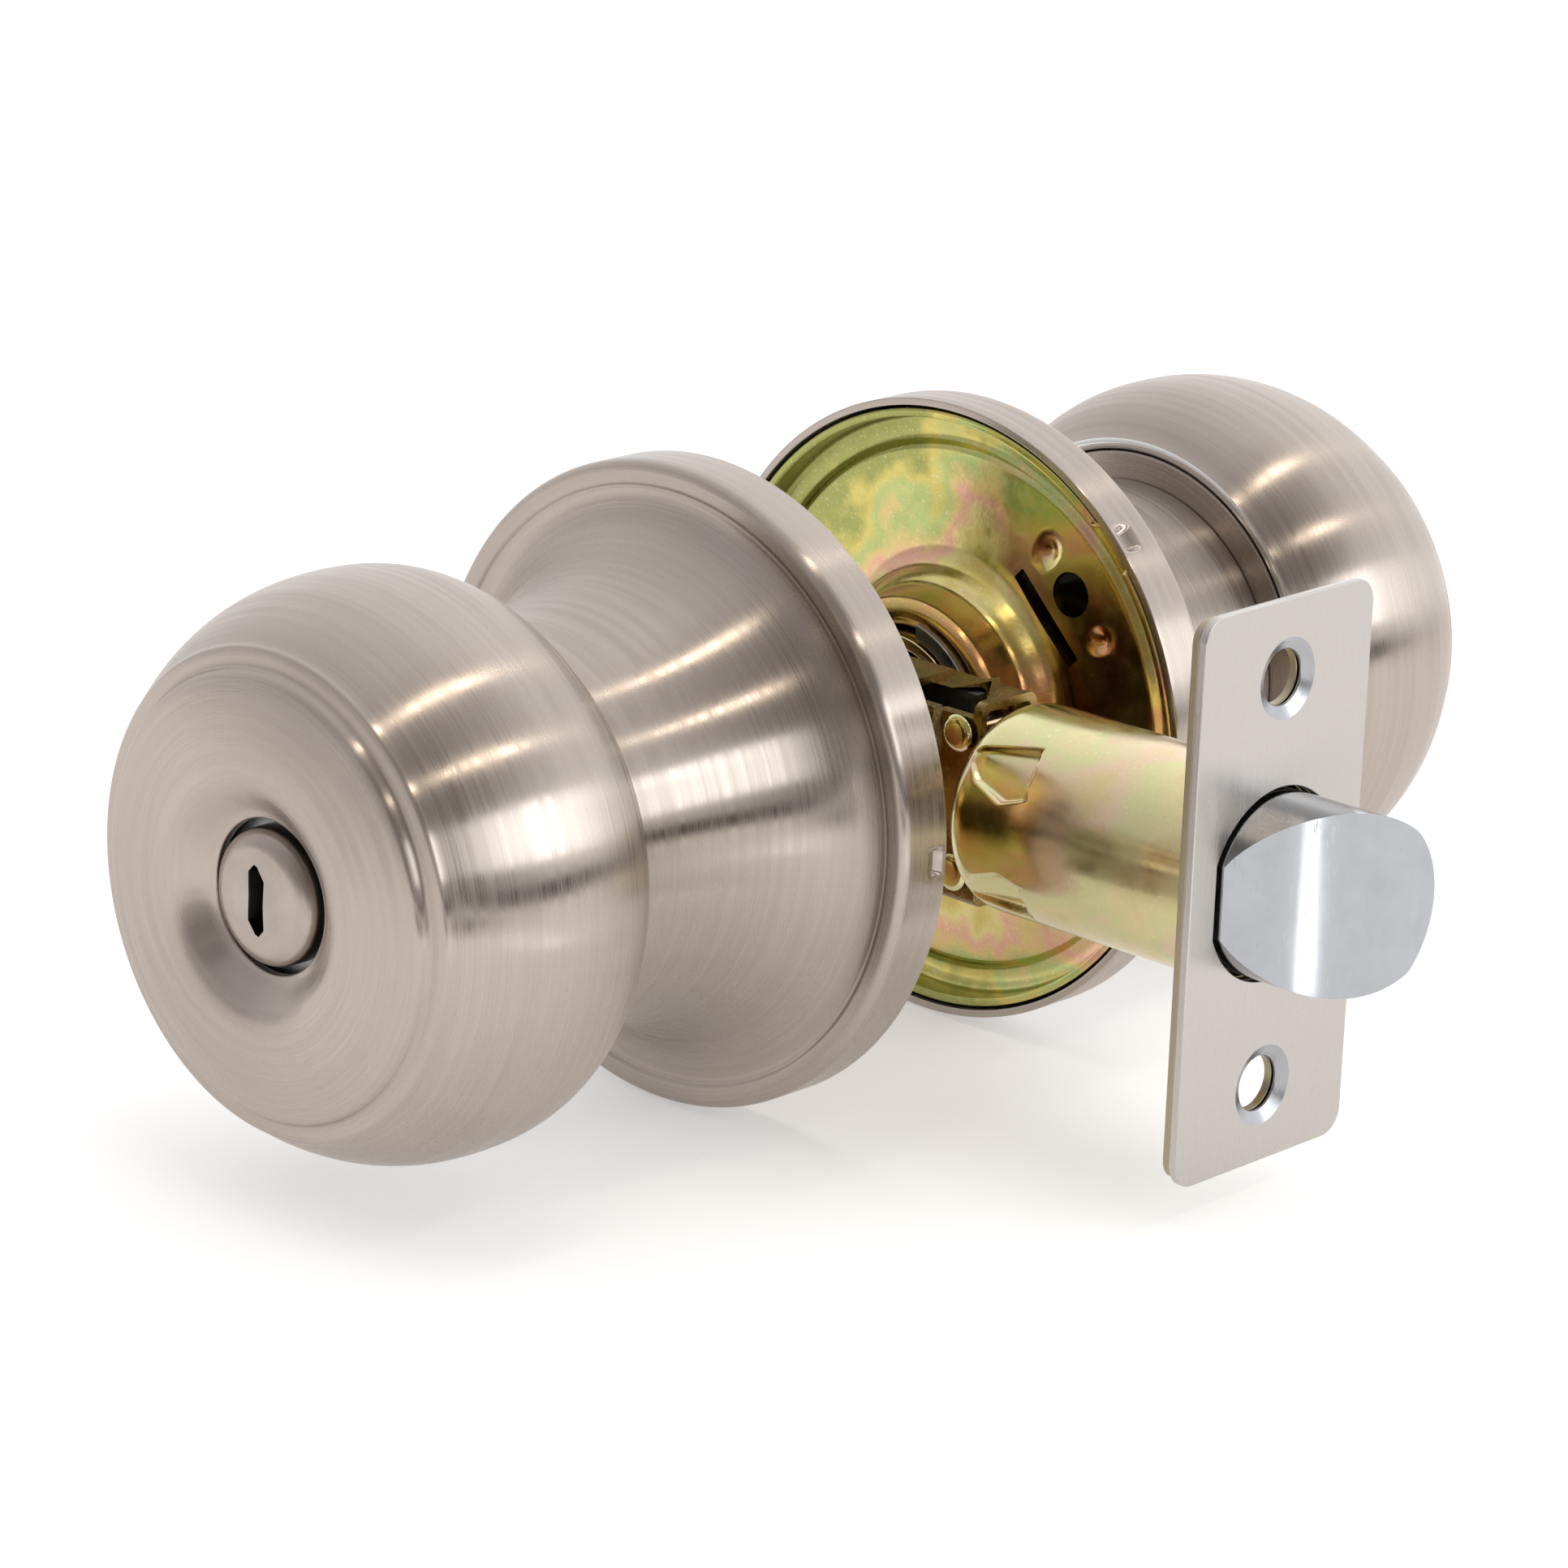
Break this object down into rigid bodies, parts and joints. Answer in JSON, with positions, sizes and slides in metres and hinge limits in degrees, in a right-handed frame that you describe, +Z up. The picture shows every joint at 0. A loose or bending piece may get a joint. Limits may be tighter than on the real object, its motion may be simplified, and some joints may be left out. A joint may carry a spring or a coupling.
{
  "type": "door knob",
  "caption": "Tubular privacy door knob set: two round knobs on trumpet roses, one spindle, and a sprung latch bolt with its faceplate.",
  "frame": {"origin": "where the knob spindle's axis crosses the latch's axis, in the middle of the door's thickness", "axes": "+Y along the spindle from the outside knob to the inside knob, +X along the latch out to the faceplate and bolt, +Z up"},
  "size_m": [0.1053, 0.1609, 0.0664],
  "materials": {
    "satin_stainless": "satin",
    "yellow_zinc": "yellow zinc plated",
    "die_cast_zinc": "as cast",
    "polished_chrome": "polished",
    "spring_steel": "oiled"
  },
  "bodies": {
    "fixed_parts": {"exterior_rose": "satin_stainless", "interior_rose": "satin_stainless", "exterior_mounting_plate": "yellow_zinc", "interior_mounting_plate": "yellow_zinc", "exterior_return_spring": "spring_steel", "interior_return_spring": "spring_steel", "screw_post_upper": "yellow_zinc", "screw_post_lower": "yellow_zinc", "latch_faceplate": "satin_stainless", "latch_backplate": "yellow_zinc", "latch_tube": "yellow_zinc", "latch_case": "yellow_zinc", "case_rivet_upper": "yellow_zinc", "case_rivet_lower": "yellow_zinc", "case_rivet_rear": "yellow_zinc", "spring_seat": "yellow_zinc", "latch_spring": "spring_steel"},
    "knobs": {"exterior_knob_shell": "satin_stainless", "exterior_knob_back": "satin_stainless", "exterior_knob_core": "die_cast_zinc", "exterior_shank": "yellow_zinc", "exterior_retaining_ring": "spring_steel", "exterior_spring_driver": "yellow_zinc", "interior_knob_shell": "satin_stainless", "interior_knob_back": "satin_stainless", "interior_knob_core": "die_cast_zinc", "interior_shank": "yellow_zinc", "interior_retaining_ring": "spring_steel", "interior_spring_driver": "yellow_zinc", "spindle": "yellow_zinc", "latch_cam": "die_cast_zinc"},
    "bolt": {"latch_bolt": "polished_chrome", "bolt_tail": "die_cast_zinc", "retractor": "die_cast_zinc"},
    "privacy_lock": {"emergency_release_plug": "polished_chrome", "turn_button": "satin_stainless", "lock_bar": "spring_steel"}
  },
  "joints": [
    {"name": "knob_turn", "type": "hinge", "parent": "fixed_parts", "child": "knobs", "pos_m": [0, 0, 0], "axis": [0, 1, 0], "range_deg": [0, 78], "stiffness_Nm_per_rad": 0.15, "springref_deg": -22.92, "deforming": ["exterior_return_spring", "interior_return_spring"]},
    {"name": "bolt_slide", "type": "slide", "parent": "fixed_parts", "child": "bolt", "axis": [-1, 0, 0], "range_m": [0, 0.0119], "stiffness_N_per_m": 300, "springref_m": -0.015, "deforming": ["latch_spring"]},
    {"name": "lock_turn", "type": "hinge", "parent": "knobs", "child": "privacy_lock", "pos_m": [0, 0, 0], "axis": [0, 1, 0], "range_deg": [0, 90]}
  ],
  "couplings": [
    {"joint": "bolt_slide", "follows": "knob_turn", "m_per_rad": 0.00874}
  ]
}
